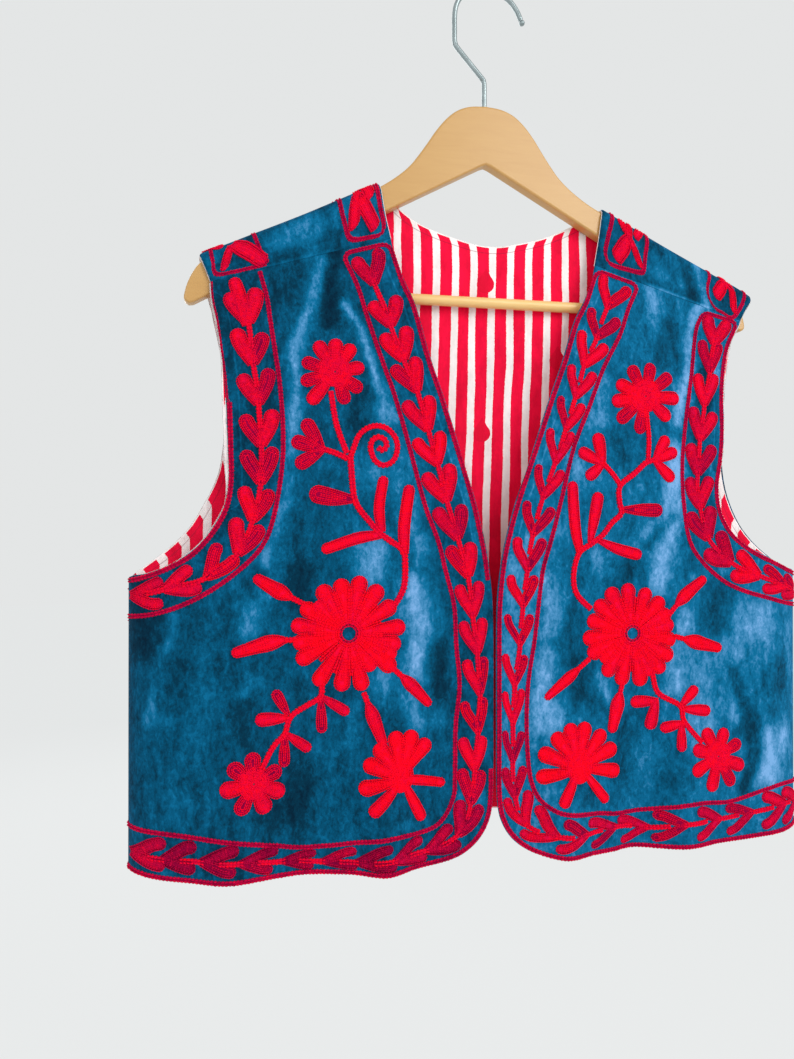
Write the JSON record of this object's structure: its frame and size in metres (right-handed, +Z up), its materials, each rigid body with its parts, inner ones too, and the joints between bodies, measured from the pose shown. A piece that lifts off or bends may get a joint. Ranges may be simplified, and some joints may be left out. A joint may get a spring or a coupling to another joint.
{
  "type": "embroidered folk vest on a hanger",
  "caption": "Short open-front velvet vest with chain-stitch flowers and leaf borders and a striped lining, hung on a wooden hanger with a trouser bar and a wire hook.",
  "frame": {"origin": "inside of the crown of the hanger's hook, where a rail carries it", "axes": "+X across the shoulders towards the wearer's left, -Y to the front of the vest, +Z up"},
  "size_m": [0.522, 0.0473, 0.6595],
  "materials": {
    "velvet_right_front": "cotton velvet pile with chain-stitch embroidery",
    "velvet_left_front": "cotton velvet pile with chain-stitch embroidery",
    "velvet_back": "cotton velvet pile with chain-stitch embroidery",
    "lining_right_front": "plain-woven striped cotton",
    "lining_left_front": "plain-woven striped cotton",
    "lining_back": "plain-woven striped cotton",
    "hanger_board": "clear satin lacquer on pale wood",
    "hanger_bar": "clear satin lacquer on pale wood",
    "hanger_hook": "bright plated wire"
  },
  "bodies": {
    "root": {"velvet_right_front": "velvet_right_front", "velvet_left_front": "velvet_left_front", "velvet_back": "velvet_back", "lining_right_front": "lining_right_front", "lining_left_front": "lining_left_front", "lining_back": "lining_back", "hanger_board": "hanger_board", "hanger_bar": "hanger_bar", "hanger_hook": "hanger_hook"}
  },
  "joints": []
}
